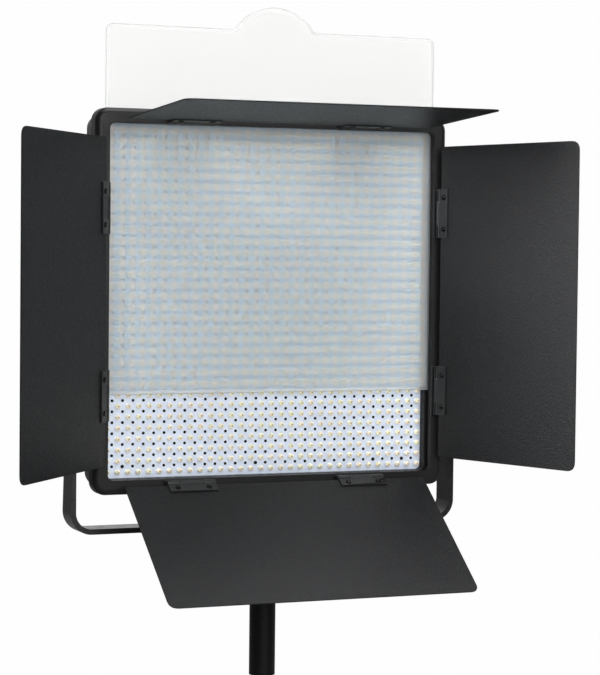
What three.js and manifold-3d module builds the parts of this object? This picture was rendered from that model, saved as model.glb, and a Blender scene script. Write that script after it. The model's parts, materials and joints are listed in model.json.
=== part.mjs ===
// A studio LED panel light: a square lamp head with four barn doors and a slide-in diffuser,
// held by a U-shaped yoke on a tubular stand adapter.
// Millimetres, +Z up, the lamp shines along -Y. The origin is the centre of the adapter's mouth.
import * as THREE from "three";
import { mergeVertices } from "three/addons/utils/BufferGeometryUtils.js";
import Module from "manifold-3d";

const wasm = await Module();
wasm.setup();

// ---- Driving dimensions -------------------------------------------------------------------

const GAP = 0.3; // clearance between pieces that touch each other
const ARC_STEPS = 6; // straight steps in a quarter of a round corner
const PIVOT_Z = 350; // tilt axis above the adapter's mouth

// Lamp head: y is measured from the tilt axis, x and z from the head's centre.
const HEAD_W = 347;
const HEAD_H = 348;
const HEAD_CORNER = 12;
const FRAME_FRONT = -25.5;
const FRAME_BACK = -9;
const FRAME_EDGE = 5.5; // rounding of the frame's front edge
const OPENING = 321;
const OPENING_CORNER = 5;
const LINER_W = 316.6; // width between the side walls behind the diffuser's slot
const SKIRT_SIZE = 333; // light skirt behind the opening
const SKIRT_BACK = -5.8;
const BOARD_FRONT = -5.5;
const BOARD_SIZE = 324;
const BOARD_T = 1.6;
const CARRIER_SIZE = 333;
const CARRIER_T = 2;
const HOUSING_BACK = 22.5;
const HOUSING_WALL = 1.5;
const HOUSING_INSET = 4.5; // the housing is this much smaller than the frame on every side
const HOUSING_CORNER = 13;
const HOUSING_EDGE = 5;
const BOSS_R = 15; // bushes between the housing and the yoke
const BOSS_NECK_R = 8.4;
const VENT = { x: 80, start: 18, length: 92, height: 4, pitch: 10, count: 9, bottom: 50 };

// Diffuser: a frosted sheet that slides down between two grooves of the frame.
const DIFFUSER_W = 325;
const DIFFUSER_T = 2;
const DIFFUSER_FRONT = -17.6;
const DIFFUSER_BOTTOM = -84; // at rest, partly raised
const DIFFUSER_TOP = 249.5;
const DIFFUSER_CORNER = 7;
const TAB_TOP = 271;
const TAB_R = 46;
const TAB_FILLET = 6;
const SLOT_CLEARANCE = 0.5; // on each face of the sheet
const SLOT_HALF = 163.3;

// Barn doors: each turns on a line in front of the frame's rim.
const HINGE_REACH = 164; // hinge line from the head's centre
const SIDE_HINGE_Y = -29.3;
const END_HINGE_Y = -33.2; // further out, so that these two fold over the side doors
const DOOR_T = 1.2;
const DOOR_START = 3.2; // from the hinge line to the sheet's edge
const DOOR_CORNER = 9;
const DOOR_INNER_CORNER = 2;
const SIDE_DOOR = { innerHalf: 147, outerHalf: 149, reach: 163 };
const END_DOOR = { innerHalf: 148, outerHalf: 147, reach: 155 };
const DOORS = [
  { name: "top", turn: 0, angle: 86.7, hingeY: END_HINGE_Y, sheet: END_DOOR },
  { name: "right", turn: 90, angle: 65.8, hingeY: SIDE_HINGE_Y, sheet: SIDE_DOOR },
  { name: "bottom", turn: 180, angle: 53.5, hingeY: END_HINGE_Y, sheet: END_DOOR },
  { name: "left", turn: -90, angle: 46.8, hingeY: SIDE_HINGE_Y, sheet: SIDE_DOOR },
];

// Hinges: two on each door.
const HINGE_X = 84; // from the middle of the door
const HINGE_HALF = 23;
const KNUCKLE_HALF = 11; // the door's knuckle, between the frame's two
const KNUCKLE_R = 2.6;
const KNUCKLE_STEPS = 12;
const PIN_R = 1.1;
const PIN_BORE_R = 1.2;
const PLATE_T = 0.8;
const PLATE_INNER = 160;
const PLATE_OUTER = 167.5;
const WEB_HALF = 1.2;
const LEAF_T = 1;
const LEAF_REACH = 12;
const RIVET_X = 15;
const RIVET_REACH = 7.6;
const RIVET_R = 2;
const RIVET_SHANK_R = 1.1;
const RIVET_HOLE_R = 1.4;
const RIVET_HEAD = 0.7;
const RIVET_STEPS = 10;

// Yoke: one flat bar bent into a U.
const YOKE_OUTER = 191.2; // half of the outer width
const YOKE_T = 5;
const YOKE_HALF_DEPTH = 13.2;
const YOKE_BOTTOM = 139.7; // the bar's underside above the adapter's mouth
const YOKE_BEND = 20; // outer bend radius
const BOLT_HOLE_R = 4.4;
const BOLT_R = 4;

// Stand adapter, its bolt and its clamp knob.
const ADAPTER_R = 12.2;
const ADAPTER_BORE_R = 8.2;
const ADAPTER_BORE_TOP = 116;
const ADAPTER_BOLT_FLOOR = 122;
const CLAMP_Z = 104;
const CLAMP_R = 12;

// Rear controls.
const PANEL = { width: 200, height: 72, z: -114, front: 22.8, back: 40.8, corner: 6, wall: 2 };
const DISPLAY = { x: 0, z: -102, width: 50, height: 20 };
const DIAL = { x: 68, z: -114, r: 12, shaft: 4 };
const BUTTON = { z: -132, r: 4, pitch: 16, flange: 5 };
const BUTTON_NAMES = ["power_button", "mode_button", "down_button", "up_button"];
const SWITCH = { x: -50, z: -114, openX: 21, openZ: 14, halfX: 9, halfZ: 6.4, pivot: 37.5, tilt: 8 };
const INLET = { x: -80, z: -114, r: 6 };
const SCREW = { x: 152, z: 151, r: 3.2, shank: 1.6, hole: 1.9 };

// ---- Materials ----------------------------------------------------------------------------

function material(color, roughness, metalness) {
  return new THREE.MeshStandardMaterial({ color, roughness, metalness });
}

const PAINT = material(0x292a2a, 0.55, 0.2);
const DOOR_PAINT = material(0x2a2b2b, 0.6, 0.2);
const YOKE_PAINT = material(0x1c1c1b, 0.5, 0.3);
const BLACK_PLASTIC = material(0x1a1a1a, 0.5, 0);
const RUBBER = material(0x151515, 0.8, 0);
const STEEL = material(0x8a8c8e, 0.35, 0.9);
const ALUMINIUM = material(0xb9bcbf, 0.45, 0.8);
const BOARD_WHITE = material(0xdfe4e8, 0.5, 0);
const BOARD_GREEN = material(0x1f4a34, 0.5, 0);
const FROSTED = material(0xeef0f0, 0.6, 0);
const DISPLAY_BLACK = material(0x0b0d10, 0.1, 0);

// ---- Geometry helpers ---------------------------------------------------------------------

function radians(degrees) {
  return (degrees * Math.PI) / 180;
}

function named(name, geometry, look) {
  const mesh = new THREE.Mesh(geometry, look);
  mesh.name = name;
  return mesh;
}

function solid(geometry) {
  const bare = geometry.clone();
  bare.deleteAttribute("normal");
  bare.deleteAttribute("uv");
  const merged = mergeVertices(bare);
  return new wasm.Manifold(
    new wasm.Mesh({
      numProp: 3,
      vertProperties: merged.getAttribute("position").array,
      triVerts: new Uint32Array(merged.index.array),
    }),
  );
}

function geometryOf(body) {
  const mesh = body.getMesh();
  const geometry = new THREE.BufferGeometry();
  geometry.setAttribute("position", new THREE.BufferAttribute(mesh.vertProperties, 3));
  geometry.setIndex(new THREE.BufferAttribute(mesh.triVerts, 1));
  geometry.computeVertexNormals();
  return geometry;
}

function join(base, ...others) {
  return geometryOf(others.reduce((sum, other) => sum.add(solid(other)), solid(base)));
}

function cut(base, ...tools) {
  return geometryOf(tools.reduce((rest, tool) => rest.subtract(solid(tool)), solid(base)));
}

function common(a, b) {
  return geometryOf(solid(a).intersect(solid(b)));
}

// A box between two opposite corners.
function block([x0, y0, z0], [x1, y1, z1]) {
  const box = new THREE.BoxGeometry(x1 - x0, y1 - y0, z1 - z0);
  return box.translate((x0 + x1) / 2, (y0 + y1) / 2, (z0 + z1) / 2);
}

function alongAxis(geometry, axis) {
  if (axis === "x") geometry.rotateZ(-Math.PI / 2);
  if (axis === "z") geometry.rotateX(Math.PI / 2);
  return geometry;
}

// A cylinder on a coordinate axis, between two places on it.
function rod(axis, radius, from, to, steps = 24) {
  const cylinder = new THREE.CylinderGeometry(radius, radius, to - from, steps);
  return alongAxis(cylinder.translate(0, (from + to) / 2, 0), axis);
}

// A turned piece: the profile is a list of [radius, place on the axis].
function turned(axis, profile, steps = 24) {
  const points = profile.map(([radius, place]) => new THREE.Vector2(radius, place));
  return alongAxis(new THREE.LatheGeometry(points, steps), axis);
}

function roundedRect(width, height, radius) {
  const x = width / 2 - radius;
  const z = height / 2 - radius;
  const quarter = Math.PI / 2;
  const shape = new THREE.Shape();
  shape.absarc(x, z, radius, 0, quarter);
  shape.absarc(-x, z, radius, quarter, 2 * quarter);
  shape.absarc(-x, -z, radius, 2 * quarter, 3 * quarter);
  shape.absarc(x, -z, radius, 3 * quarter, 4 * quarter);
  return shape;
}

// A polygon of [x, z, rounding] corners, each rounded by a curve.
function roundedPolygon(corners) {
  const shape = new THREE.Shape();
  corners.forEach(([x, z, rounding], index) => {
    const corner = new THREE.Vector2(x, z);
    const before = new THREE.Vector2(...corners.at(index - 1)).sub(corner).setLength(rounding);
    const after = new THREE.Vector2(...corners[(index + 1) % corners.length]).sub(corner);
    const start = before.add(corner);
    const end = after.setLength(rounding).add(corner);
    if (index === 0) shape.moveTo(start.x, start.y);
    else shape.lineTo(start.x, start.y);
    shape.quadraticCurveTo(x, z, end.x, end.y);
  });
  shape.closePath();
  return shape;
}

// An outline in x and z, given thickness along y.
function slab(shape, front, back, steps = ARC_STEPS) {
  const options = { depth: back - front, bevelEnabled: false, curveSegments: steps };
  const plate = new THREE.ExtrudeGeometry(shape, options);
  return plate.rotateX(Math.PI / 2).translate(0, back, 0);
}

// The same, with the edges at the front and back rounded inwards.
function softSlab(shape, front, back, edge) {
  const options = {
    depth: back - front - 2 * edge,
    bevelThickness: edge,
    bevelSize: edge,
    bevelOffset: -edge,
    bevelSegments: 4,
    curveSegments: ARC_STEPS,
  };
  const plate = new THREE.ExtrudeGeometry(shape, options);
  return plate.rotateX(Math.PI / 2).translate(0, back - edge, 0);
}

// An outline in y and z, given thickness along x.
function sideSlab(shape, from, to) {
  const options = { depth: to - from, bevelEnabled: false, curveSegments: ARC_STEPS };
  const plate = new THREE.ExtrudeGeometry(shape, options);
  return plate.rotateX(Math.PI / 2).rotateZ(Math.PI / 2).translate(from, 0, 0);
}

// ---- Yoke and stand adapter ---------------------------------------------------------------

function yokeOutline() {
  const inner = YOKE_OUTER - YOKE_T;
  const top = PIVOT_Z + YOKE_HALF_DEPTH;
  const bendZ = YOKE_BOTTOM + YOKE_BEND;
  const bendX = YOKE_OUTER - YOKE_BEND;
  const down = -Math.PI / 2;
  const shape = new THREE.Shape();
  shape.moveTo(-YOKE_OUTER, top);
  shape.absarc(-bendX, bendZ, YOKE_BEND, Math.PI, Math.PI * 1.5);
  shape.absarc(bendX, bendZ, YOKE_BEND, down, 0);
  shape.lineTo(YOKE_OUTER, top);
  shape.lineTo(inner, top);
  shape.absarc(bendX, bendZ, YOKE_BEND - YOKE_T, 0, down, true);
  shape.absarc(-bendX, bendZ, YOKE_BEND - YOKE_T, down, -Math.PI, true);
  shape.lineTo(-inner, top);
  return shape;
}

// Seen from the side, the arms end in a half round about the tilt axis.
function yokeSideOutline() {
  const shape = new THREE.Shape();
  shape.moveTo(-YOKE_HALF_DEPTH, 0);
  shape.lineTo(YOKE_HALF_DEPTH, 0);
  shape.absarc(0, PIVOT_Z, YOKE_HALF_DEPTH, 0, Math.PI);
  return shape;
}

function yokeBar() {
  const bent = slab(yokeOutline(), -YOKE_HALF_DEPTH - 1, YOKE_HALF_DEPTH + 1, 8);
  const bar = common(bent, sideSlab(yokeSideOutline(), -YOKE_OUTER - 1, YOKE_OUTER + 1));
  const pivotHoles = rod("x", BOLT_HOLE_R, -YOKE_OUTER - 1, YOKE_OUTER + 1, 16);
  const boltHole = rod("z", BOLT_HOLE_R, YOKE_BOTTOM - 1, YOKE_BOTTOM + YOKE_T + 1, 16);
  return cut(bar, pivotHoles.translate(0, 0, PIVOT_Z), boltHole);
}

function standAdapter() {
  const top = YOKE_BOTTOM - GAP;
  const profile = [
    [0, ADAPTER_BORE_TOP],
    [ADAPTER_BORE_R, ADAPTER_BORE_TOP],
    [ADAPTER_BORE_R, 0],
    [ADAPTER_R, 0],
    [ADAPTER_R, top],
    [BOLT_HOLE_R, top],
    [BOLT_HOLE_R, ADAPTER_BOLT_FLOOR],
    [0, ADAPTER_BOLT_FLOOR],
  ];
  const clampHole = rod("x", BOLT_HOLE_R, ADAPTER_BORE_R - 2, ADAPTER_R + 1, 12);
  return cut(turned("z", profile, 32), clampHole.translate(0, 0, CLAMP_Z));
}

function adapterBolt() {
  const seat = YOKE_BOTTOM + YOKE_T + GAP;
  const head = rod("z", 8, seat, seat + 5.3, 6);
  return join(head, rod("z", BOLT_R, ADAPTER_BOLT_FLOOR + 1, seat + 1, 16));
}

// A hand wheel on a threaded stud: the stud's tip, the face next to the work, and the wheel's size.
function knobProfile(tip, face, radius, depth) {
  return [
    [0, tip],
    [BOLT_R, tip],
    [BOLT_R, face],
    [radius * 0.55, face],
    [radius * 0.6, face + 3],
    [radius, face + 4],
    [radius, face + depth - 2],
    [radius - 2, face + depth],
    [0, face + depth],
  ];
}

function buildYoke() {
  const yoke = new THREE.Group();
  const clamp = turned("x", knobProfile(ADAPTER_BORE_R + 0.4, ADAPTER_R + 1, CLAMP_R, 20));
  const clampKnob = named("stand_clamp_knob", clamp, RUBBER);
  clampKnob.position.z = CLAMP_Z;
  yoke.add(named("yoke_bar", yokeBar(), YOKE_PAINT));
  yoke.add(named("stand_adapter", standAdapter(), YOKE_PAINT));
  yoke.add(named("adapter_bolt", adapterBolt(), STEEL));
  yoke.add(clampKnob);
  for (const [side, turn] of [["right", 0], ["left", 180]]) {
    const wheel = turned("x", knobProfile(176, YOKE_OUTER + 0.4, 19, 17));
    const knob = named(`tilt_knob_${side}`, wheel, RUBBER);
    knob.position.z = PIVOT_Z;
    knob.rotation.z = radians(turn);
    yoke.add(knob);
  }
  return yoke;
}

// ---- Lamp head ----------------------------------------------------------------------------

function frontFrame() {
  const outline = roundedRect(HEAD_W, HEAD_H, HEAD_CORNER);
  const blank = softSlab(outline, FRAME_FRONT, FRAME_BACK + 2 * FRAME_EDGE, FRAME_EDGE);
  const behind = block([-HEAD_W, FRAME_BACK, -HEAD_H], [HEAD_W, 10, HEAD_H]);
  const skirt = slab(roundedRect(SKIRT_SIZE, SKIRT_SIZE, 8), FRAME_BACK - 1, SKIRT_BACK);
  const opening = slab(roundedRect(OPENING, OPENING, OPENING_CORNER), FRAME_FRONT - 1, DIFFUSER_FRONT);
  const liner = slab(roundedRect(LINER_W, OPENING, OPENING_CORNER), DIFFUSER_FRONT - 1, 0);
  const slot = block(
    [-SLOT_HALF, DIFFUSER_FRONT - SLOT_CLEARANCE, -SLOT_HALF],
    [SLOT_HALF, DIFFUSER_FRONT + DIFFUSER_T + SLOT_CLEARANCE, HEAD_H],
  );
  return cut(join(cut(blank, behind), skirt), opening, liner, slot);
}

function rearHousing() {
  const width = HEAD_W - 2 * HOUSING_INSET;
  const height = HEAD_H - 2 * HOUSING_INSET;
  const front = FRAME_BACK + GAP;
  const outline = roundedRect(width, height, HOUSING_CORNER);
  const blank = softSlab(outline, front - 2 * HOUSING_EDGE, HOUSING_BACK, HOUSING_EDGE);
  const ahead = block([-width, -40, -height], [width, front, height]);
  const inside = roundedRect(
    width - 2 * HOUSING_WALL,
    height - 2 * HOUSING_WALL,
    HOUSING_CORNER - HOUSING_WALL,
  );
  const cavity = softSlab(inside, front - 20, HOUSING_BACK - HOUSING_WALL, HOUSING_EDGE - 1);
  return cut(blank, ahead, cavity, ...ventSlots(), ...screwHoles());
}

function ventSlots() {
  const slots = [];
  for (const x of [-VENT.x, VENT.x]) {
    for (let row = 0; row < VENT.count; row++) {
      const z = VENT.bottom + row * VENT.pitch;
      slots.push(
        block([x - VENT.length / 2, VENT.start, z], [x + VENT.length / 2, HOUSING_BACK + 1, z + VENT.height]),
      );
    }
  }
  return slots;
}

function cornersOf(x, z) {
  return [[x, z], [-x, z], [-x, -z], [x, -z]];
}

function screwHoles() {
  return cornersOf(SCREW.x, SCREW.z).map(([x, z]) =>
    rod("y", SCREW.hole, HOUSING_BACK - HOUSING_WALL - 4, HOUSING_BACK + 1, 10).translate(x, 0, z),
  );
}

function housingScrews() {
  const profile = [
    [0, HOUSING_BACK - 12],
    [SCREW.shank, HOUSING_BACK - 12],
    [SCREW.shank, HOUSING_BACK + GAP],
    [SCREW.r, HOUSING_BACK + GAP],
    [SCREW.r, HOUSING_BACK + 1.4],
    [SCREW.r * 0.6, HOUSING_BACK + 2.4],
    [0, HOUSING_BACK + 2.4],
  ];
  return cornersOf(SCREW.x, SCREW.z).map(([x, z], index) =>
    named(`housing_screw_${index + 1}`, turned("y", profile, 12).translate(x, 0, z), STEEL),
  );
}

function ledBoard() {
  return slab(roundedRect(BOARD_SIZE, BOARD_SIZE, 3), BOARD_FRONT, BOARD_FRONT + BOARD_T);
}

function boardCarrier() {
  const front = BOARD_FRONT + BOARD_T + GAP;
  return slab(roundedRect(CARRIER_SIZE, CARRIER_SIZE, 12), front, front + CARRIER_T);
}

function driverBoard() {
  return block([-100, 8, -140], [100, 9.6, -50]);
}

// A stepped bush: its neck stands on the housing's side, behind the wider front frame.
function pivotBoss() {
  const start = HEAD_W / 2 - HOUSING_INSET + GAP;
  const shoulder = HEAD_W / 2 + GAP;
  const end = YOKE_OUTER - YOKE_T - GAP;
  const profile = [
    [BOLT_HOLE_R, start],
    [BOSS_NECK_R, start],
    [BOSS_NECK_R, shoulder],
    [BOSS_R, shoulder],
    [BOSS_R, end - 2],
    [BOSS_R - 2, end],
    [BOLT_HOLE_R, end],
    [BOLT_HOLE_R, start],
  ];
  return turned("x", profile);
}

function tabAngles(start, end, steps) {
  return Array.from({ length: steps + 1 }, (_, i) => start + ((end - start) * i) / steps);
}

// The sheet is a rectangle with a round pull tab on its top edge, filleted where it starts.
function diffuser() {
  const half = DIFFUSER_W / 2;
  const c = DIFFUSER_CORNER;
  const tabZ = TAB_TOP - TAB_R;
  const filletZ = DIFFUSER_TOP + TAB_FILLET;
  const filletX = Math.sqrt((TAB_R + TAB_FILLET) ** 2 - (filletZ - tabZ) ** 2);
  const meet = Math.atan2(filletZ - tabZ, filletX);
  const shape = new THREE.Shape();
  shape.moveTo(-half, DIFFUSER_BOTTOM);
  shape.lineTo(half, DIFFUSER_BOTTOM);
  shape.absarc(half - c, DIFFUSER_TOP - c, c, 0, Math.PI / 2);
  shape.absarc(filletX, filletZ, TAB_FILLET, -Math.PI / 2, meet - Math.PI, true);
  for (const angle of tabAngles(meet, Math.PI - meet, 24)) {
    shape.lineTo(TAB_R * Math.cos(angle), tabZ + TAB_R * Math.sin(angle));
  }
  shape.absarc(-filletX, filletZ, TAB_FILLET, -meet, -Math.PI / 2, true);
  shape.absarc(c - half, DIFFUSER_TOP - c, c, Math.PI / 2, Math.PI);
  return slab(shape, DIFFUSER_FRONT, DIFFUSER_FRONT + DIFFUSER_T);
}

function buildHead() {
  const head = new THREE.Group();
  head.position.z = PIVOT_Z;
  head.add(named("front_frame", frontFrame(), PAINT));
  head.add(named("rear_housing", rearHousing(), PAINT));
  head.add(...housingScrews());
  head.add(named("led_board", ledBoard(), BOARD_WHITE));
  head.add(named("board_carrier", boardCarrier(), ALUMINIUM));
  head.add(named("driver_board", driverBoard(), BOARD_GREEN));
  head.add(named("diffuser", diffuser(), FROSTED));
  head.add(named("pivot_boss_right", pivotBoss(), BLACK_PLASTIC));
  head.add(named("pivot_boss_left", pivotBoss().rotateZ(Math.PI), BLACK_PLASTIC));
  head.add(...DOORS.map(buildDoorSide));
  head.add(...rearControls());
  return head;
}

// ---- Barn doors and hinges ----------------------------------------------------------------
// One door is drawn as the top one: x runs along its hinge line, z away from it, and -y is the
// side that faces the light. Each door's group is then turned about y to its own side.

function doorSheet(sheet) {
  const outline = roundedPolygon([
    [-sheet.innerHalf, DOOR_START, DOOR_INNER_CORNER],
    [sheet.innerHalf, DOOR_START, DOOR_INNER_CORNER],
    [sheet.outerHalf, sheet.reach, DOOR_CORNER],
    [-sheet.outerHalf, sheet.reach, DOOR_CORNER],
  ]);
  const holes = [];
  for (const hinge of [-HINGE_X, HINGE_X]) {
    for (const x of [hinge - RIVET_X, hinge + RIVET_X]) {
      holes.push(rod("y", RIVET_HOLE_R, -DOOR_T, DOOR_T, RIVET_STEPS).translate(x, 0, RIVET_REACH));
    }
  }
  return cut(slab(outline, -DOOR_T / 2, DOOR_T / 2), ...holes);
}

// A rivet through leaf and sheet: a head on each side and the shank between them.
function rivet(x) {
  const back = DOOR_T / 2 + GAP;
  const front = -back - LEAF_T;
  const profile = [
    [0, front - RIVET_HEAD],
    [RIVET_R * 0.6, front - RIVET_HEAD],
    [RIVET_R, front],
    [RIVET_R, front + LEAF_T / 2],
    [RIVET_SHANK_R, front + LEAF_T / 2],
    [RIVET_SHANK_R, back],
    [RIVET_R, back],
    [RIVET_R * 0.6, back + RIVET_HEAD],
    [0, back + RIVET_HEAD],
  ];
  return turned("y", profile, RIVET_STEPS).translate(x, 0, RIVET_REACH);
}

function hingeLeaf() {
  const back = -DOOR_T / 2 - GAP;
  const knuckle = rod("x", KNUCKLE_R, -KNUCKLE_HALF, KNUCKLE_HALF, KNUCKLE_STEPS);
  const tongue = block([-KNUCKLE_HALF, back - LEAF_T, 0], [KNUCKLE_HALF, back, DOOR_START + 1]);
  const plate = block([-HINGE_HALF, back - LEAF_T, DOOR_START], [HINGE_HALF, back, LEAF_REACH]);
  const bore = rod("x", PIN_BORE_R, -HINGE_HALF, HINGE_HALF, KNUCKLE_STEPS);
  return cut(join(plate, tongue, knuckle, rivet(-RIVET_X), rivet(RIVET_X)), bore);
}

// The frame's half of a hinge: a plate on the rim that carries two knuckles.
function hingeBracket(hingeY) {
  const plateBack = FRAME_FRONT - 0.1;
  const plateFront = plateBack - PLATE_T;
  const plate = block([-HINGE_HALF, plateFront, PLATE_INNER], [HINGE_HALF, plateBack, PLATE_OUTER]);
  const knuckles = [];
  for (const [from, to] of [[KNUCKLE_HALF + GAP, HINGE_HALF], [-HINGE_HALF, -KNUCKLE_HALF - GAP]]) {
    const low = [from, hingeY, HINGE_REACH - WEB_HALF];
    knuckles.push(block(low, [to, plateFront + PLATE_T / 2, HINGE_REACH + WEB_HALF]));
    knuckles.push(rod("x", KNUCKLE_R, from, to, KNUCKLE_STEPS).translate(0, hingeY, HINGE_REACH));
  }
  const bore = rod("x", PIN_BORE_R, -HINGE_HALF - 1, HINGE_HALF + 1, KNUCKLE_STEPS);
  return cut(join(plate, ...knuckles), bore.translate(0, hingeY, HINGE_REACH));
}

function hingePin() {
  return rod("x", PIN_R, -HINGE_HALF, HINGE_HALF, KNUCKLE_STEPS);
}

function buildDoorSide({ name, turn, angle, hingeY, sheet }) {
  const side = new THREE.Group();
  side.rotation.y = radians(turn);
  const door = new THREE.Group();
  door.position.set(0, hingeY, HINGE_REACH);
  door.rotation.x = radians(angle);
  door.add(named(`door_${name}`, doorSheet(sheet), DOOR_PAINT));
  side.add(door);
  [-HINGE_X, HINGE_X].forEach((x, index) => {
    const tag = `${name}_${index + 1}`;
    const bracket = named(`hinge_bracket_${tag}`, hingeBracket(hingeY), PAINT);
    bracket.position.x = x;
    const pin = named(`hinge_pin_${tag}`, hingePin(), STEEL);
    pin.position.set(x, hingeY, HINGE_REACH);
    const leaf = named(`hinge_leaf_${tag}`, hingeLeaf(), DOOR_PAINT);
    leaf.position.x = x;
    side.add(bracket, pin);
    door.add(leaf);
  });
  return side;
}

// ---- Rear controls ------------------------------------------------------------------------

function buttonX(index) {
  return (index - (BUTTON_NAMES.length - 1) / 2) * BUTTON.pitch;
}

function controlPanel() {
  const outline = roundedRect(PANEL.width, PANEL.height, PANEL.corner);
  const inner = roundedRect(
    PANEL.width - 2 * PANEL.wall,
    PANEL.height - 2 * PANEL.wall,
    PANEL.corner - PANEL.wall,
  );
  const blank = softSlab(outline, PANEL.front - 10, PANEL.back, 2).translate(0, 0, PANEL.z);
  const ahead = block([-200, 0, -300], [200, PANEL.front, 100]);
  const cavity = slab(inner, PANEL.front - 1, PANEL.back - PANEL.wall).translate(0, 0, PANEL.z);
  const through = [PANEL.back - 4, PANEL.back + 1];
  const { x, z, width, height } = DISPLAY;
  const windowHole = block(
    [x - width / 2, through[0], z - height / 2],
    [x + width / 2, through[1], z + height / 2],
  );
  const switchHole = block(
    [SWITCH.x - SWITCH.openX / 2, through[0], SWITCH.z - SWITCH.openZ / 2],
    [SWITCH.x + SWITCH.openX / 2, through[1], SWITCH.z + SWITCH.openZ / 2],
  );
  const dialHole = rod("y", DIAL.shaft + GAP, ...through, 16).translate(DIAL.x, 0, DIAL.z);
  const inletHole = rod("y", INLET.r + GAP, ...through, 20).translate(INLET.x, 0, INLET.z);
  const buttonHoles = BUTTON_NAMES.map((_, index) =>
    rod("y", BUTTON.r + GAP, ...through, 16).translate(buttonX(index), 0, BUTTON.z),
  );
  return cut(blank, ahead, cavity, windowHole, switchHole, dialHole, inletHole, ...buttonHoles);
}

function displayWindow() {
  const { x, z, width, height } = DISPLAY;
  return block(
    [x - width / 2 + GAP, PANEL.back - 2.2, z - height / 2 + GAP],
    [x + width / 2 - GAP, PANEL.back - 0.3, z + height / 2 - GAP],
  );
}

// A barrel socket: a flanged cup with a contact pin in its middle.
function dcInlet() {
  const profile = [
    [0, PANEL.back - 8],
    [INLET.r, PANEL.back - 8],
    [INLET.r, PANEL.back + GAP],
    [INLET.r + 2, PANEL.back + GAP],
    [INLET.r + 2, PANEL.back + 1.6],
    [3.4, PANEL.back + 1.6],
    [3.4, PANEL.back - 6],
    [1, PANEL.back - 6],
    [1, PANEL.back],
    [0, PANEL.back],
  ];
  return turned("y", profile, 20).translate(INLET.x, 0, INLET.z);
}

function brightnessDial() {
  const face = PANEL.back + 0.5;
  const profile = [
    [0, face - 5],
    [DIAL.shaft, face - 5],
    [DIAL.shaft, face],
    [DIAL.r, face],
    [DIAL.r - 0.6, face + 9],
    [DIAL.r - 1.8, face + 10.5],
    [0, face + 10.5],
  ];
  return turned("y", profile, 28).translate(DIAL.x, 0, DIAL.z);
}

function buttonCap(index) {
  const inside = PANEL.back - PANEL.wall;
  const profile = [
    [0, inside - 2.2],
    [BUTTON.flange, inside - 2.2],
    [BUTTON.flange, inside - 0.6],
    [BUTTON.r, inside - 0.6],
    [BUTTON.r, PANEL.back + 1],
    [BUTTON.r - 0.5, PANEL.back + 1.5],
    [0, PANEL.back + 1.5],
  ];
  return turned("y", profile, 16).translate(buttonX(index), 0, BUTTON.z);
}

// The rocker is drawn about its own pivot, with its profile in x and y.
function rocker() {
  const shape = new THREE.Shape();
  shape.moveTo(-SWITCH.halfX, -2);
  shape.lineTo(SWITCH.halfX, -2);
  shape.lineTo(SWITCH.halfX, 5);
  shape.quadraticCurveTo(0, 3, -SWITCH.halfX, 5);
  const options = { depth: 2 * SWITCH.halfZ, bevelEnabled: false, curveSegments: ARC_STEPS };
  return new THREE.ExtrudeGeometry(shape, options).translate(0, 0, -SWITCH.halfZ);
}

function rearControls() {
  const lever = named("power_switch", rocker(), BLACK_PLASTIC);
  lever.position.set(SWITCH.x, SWITCH.pivot, SWITCH.z);
  lever.rotation.z = radians(SWITCH.tilt);
  return [
    named("control_panel", controlPanel(), BLACK_PLASTIC),
    named("display_window", displayWindow(), DISPLAY_BLACK),
    named("dc_inlet", dcInlet(), BLACK_PLASTIC),
    named("brightness_dial", brightnessDial(), RUBBER),
    ...BUTTON_NAMES.map((name, index) => named(name, buttonCap(index), RUBBER)),
    lever,
  ];
}

// ---- The whole light ----------------------------------------------------------------------

const light = new THREE.Group();
light.add(buildYoke(), buildHead());

export default light;
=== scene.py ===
"""Looks of a studio LED panel light: finished pieces, materials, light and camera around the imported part.

Everything is in metres, in the part's own frame: the lamp shines along -Y and the tilt axis runs along X.
"""
import json
import math

import bmesh
import bpy
from mathutils import Matrix, Vector

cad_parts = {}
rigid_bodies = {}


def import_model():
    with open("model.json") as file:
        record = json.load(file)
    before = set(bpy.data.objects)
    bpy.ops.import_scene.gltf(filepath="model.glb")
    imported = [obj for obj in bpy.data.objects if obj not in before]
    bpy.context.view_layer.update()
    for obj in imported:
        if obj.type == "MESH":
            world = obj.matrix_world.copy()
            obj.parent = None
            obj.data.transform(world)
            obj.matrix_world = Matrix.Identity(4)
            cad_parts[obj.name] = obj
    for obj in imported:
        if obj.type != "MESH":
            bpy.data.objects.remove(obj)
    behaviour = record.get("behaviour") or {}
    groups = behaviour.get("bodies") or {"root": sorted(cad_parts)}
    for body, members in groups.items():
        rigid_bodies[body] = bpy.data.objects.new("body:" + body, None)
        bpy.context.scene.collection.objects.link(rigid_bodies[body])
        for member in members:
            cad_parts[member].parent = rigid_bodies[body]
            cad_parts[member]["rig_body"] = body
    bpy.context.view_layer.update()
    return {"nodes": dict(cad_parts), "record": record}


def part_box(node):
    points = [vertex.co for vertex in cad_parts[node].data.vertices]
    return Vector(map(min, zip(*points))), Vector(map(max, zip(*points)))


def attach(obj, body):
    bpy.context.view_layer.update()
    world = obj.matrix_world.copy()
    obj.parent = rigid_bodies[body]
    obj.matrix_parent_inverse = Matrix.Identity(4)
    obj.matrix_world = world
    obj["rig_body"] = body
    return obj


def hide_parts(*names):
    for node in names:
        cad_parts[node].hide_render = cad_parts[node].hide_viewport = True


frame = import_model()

MM = 0.001

# ---- Places that the frame gives ------------------------------------------------------------

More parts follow.
